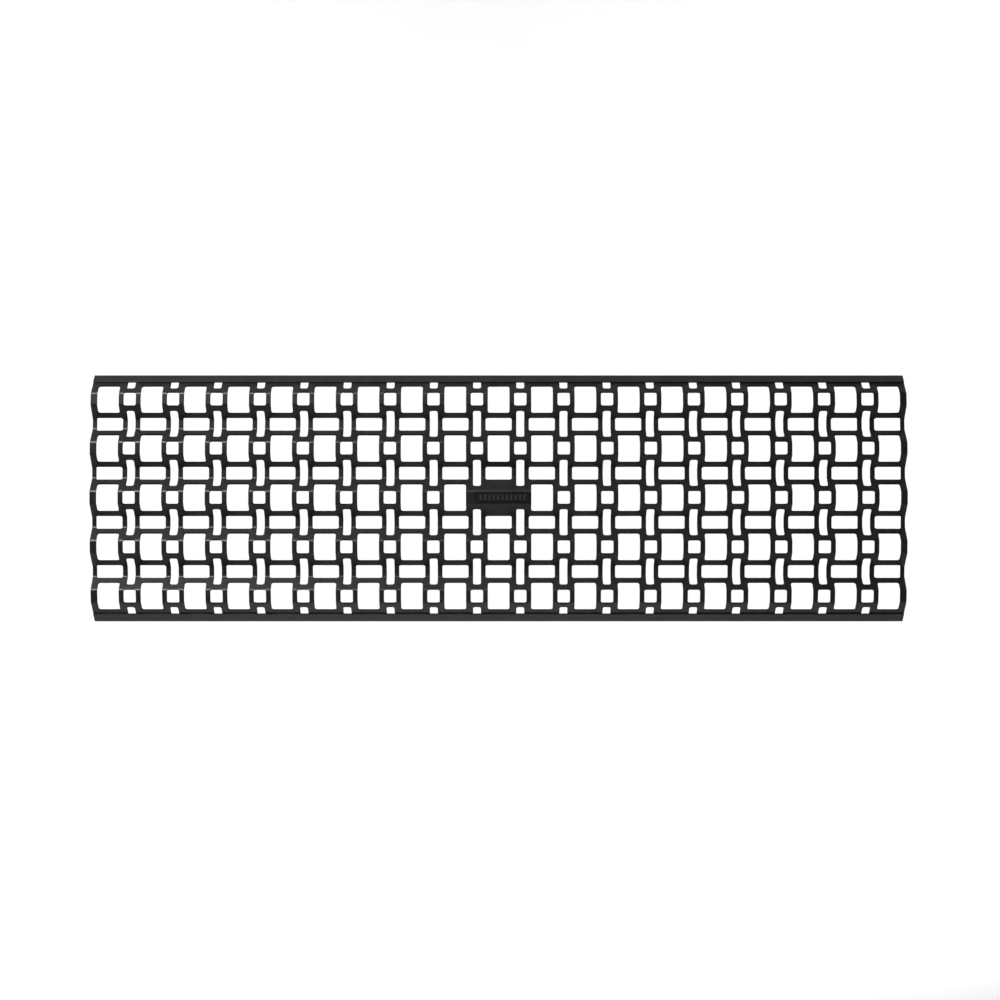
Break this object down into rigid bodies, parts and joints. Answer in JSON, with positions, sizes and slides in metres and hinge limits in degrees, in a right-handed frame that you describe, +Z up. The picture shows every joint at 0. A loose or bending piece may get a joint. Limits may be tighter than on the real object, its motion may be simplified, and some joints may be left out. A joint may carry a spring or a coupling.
{
  "type": "front grille",
  "caption": "Black corrugated lattice grille panel for a vehicle's nose, with edge rails, a plain ribbed badge and folded mounting brackets behind.",
  "frame": {"origin": "centre of the overall box", "axes": "+X along the width to the viewer's right, +Y rearwards into the vehicle, +Z up"},
  "size_m": [1, 0.0788, 0.3046],
  "materials": {
    "satin_black": "satin black powder coat on steel",
    "badge_black": "dark moulded plastic, semi-gloss",
    "badge_grey": "dark grey moulded plastic, semi-gloss",
    "foam": "closed-cell foam tape",
    "zinc": "zinc-plated steel",
    "rubber": "matt black rubber"
  },
  "bodies": {
    "root": {"lattice_panel": "satin_black", "top_rail": "satin_black", "bottom_rail": "satin_black", "top_left_bracket": "satin_black", "top_right_bracket": "satin_black", "bottom_left_bracket": "satin_black", "bottom_right_bracket": "satin_black", "badge_plate": "badge_black", "badge_insert": "badge_grey", "badge_tape": "foam", "badge_push_nuts": "zinc", "top_weld_studs": "zinc", "bottom_weld_studs": "zinc", "top_stud_washers": "zinc", "bottom_stud_washers": "zinc", "top_stud_nuts": "zinc", "bottom_stud_nuts": "zinc", "top_sleeves": "zinc", "top_grommets": "rubber", "bottom_pads": "rubber"}
  },
  "joints": []
}
